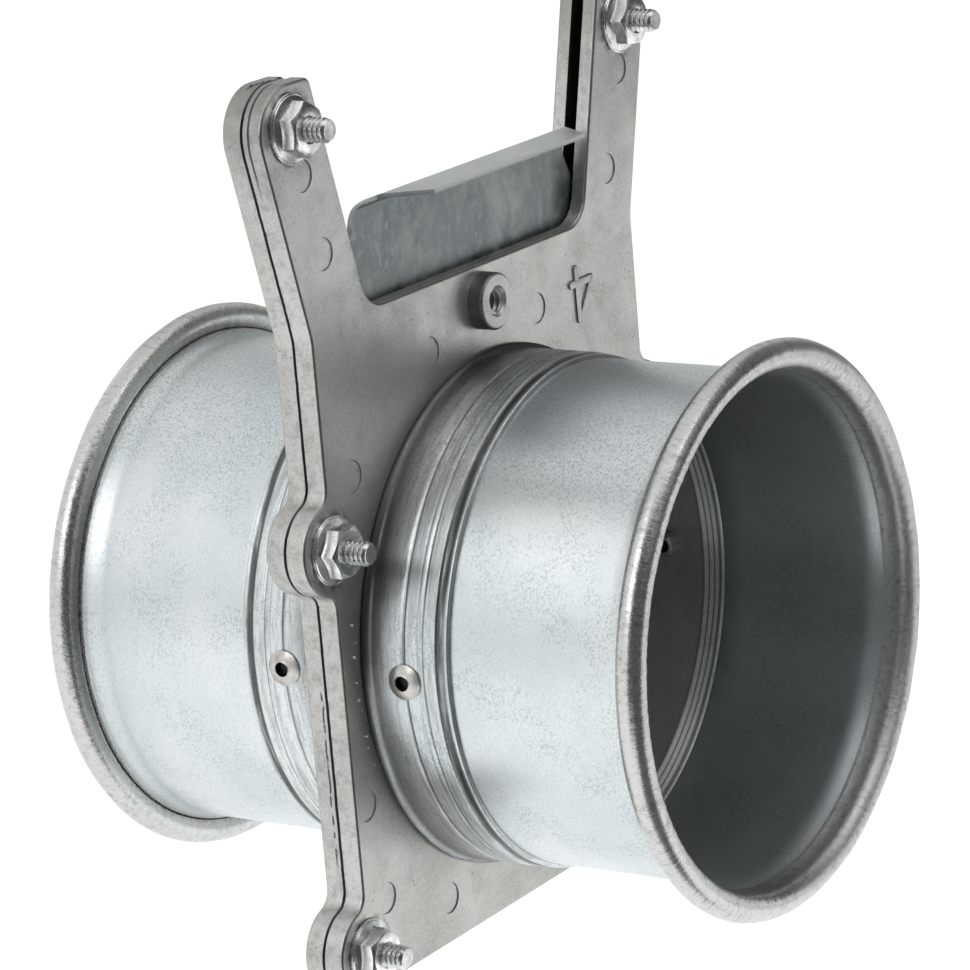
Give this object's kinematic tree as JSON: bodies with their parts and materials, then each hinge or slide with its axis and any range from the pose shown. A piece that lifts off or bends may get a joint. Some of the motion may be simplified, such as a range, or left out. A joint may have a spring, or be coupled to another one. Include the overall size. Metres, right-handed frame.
{
  "type": "duct blast gate",
  "caption": "Duct blast gate: a sheet blade with a folded handle slides between two bolted cast half plates, with a rolled-rim duct collar riveted on each side.",
  "frame": {"origin": "on the duct's axis, in the plane where the two castings meet", "axes": "-Y out of the front collar (the nut side), +X to the right seen from the front, +Z the way the blade pulls out"},
  "size_m": [0.137, 0.1404, 0.1812],
  "materials": {
    "cast_aluminium": "as-cast, sandy matt grey",
    "galvanised_collar": "galvanised sheet, fine mottled spangle",
    "galvanised_blade": "galvanised sheet, blotchy dull spangle",
    "zinc_screw": "bright zinc plate",
    "zinc_nut": "bright zinc plate",
    "rivet_metal": "satin"
  },
  "bodies": {
    "frame": {"front_casting": "cast_aluminium", "rear_casting": "cast_aluminium", "front_collar": "galvanised_collar", "rear_collar": "galvanised_collar", "screw_top_left": "zinc_screw", "screw_top_right": "zinc_screw", "screw_middle_left": "zinc_screw", "screw_middle_right": "zinc_screw", "screw_bottom_left": "zinc_screw", "screw_bottom_right": "zinc_screw", "nut_top_left": "zinc_nut", "nut_top_right": "zinc_nut", "nut_middle_left": "zinc_nut", "nut_middle_right": "zinc_nut", "nut_bottom_left": "zinc_nut", "nut_bottom_right": "zinc_nut", "rivet_front_left": "rivet_metal", "rivet_front_right": "rivet_metal", "rivet_rear_left": "rivet_metal", "rivet_rear_right": "rivet_metal"},
    "gate": {"gate_blade": "galvanised_blade"}
  },
  "joints": [
    {"name": "gate_slide", "type": "slide", "parent": "frame", "child": "gate", "axis": [0, 0, 1], "range_m": [0, 0.103]}
  ]
}
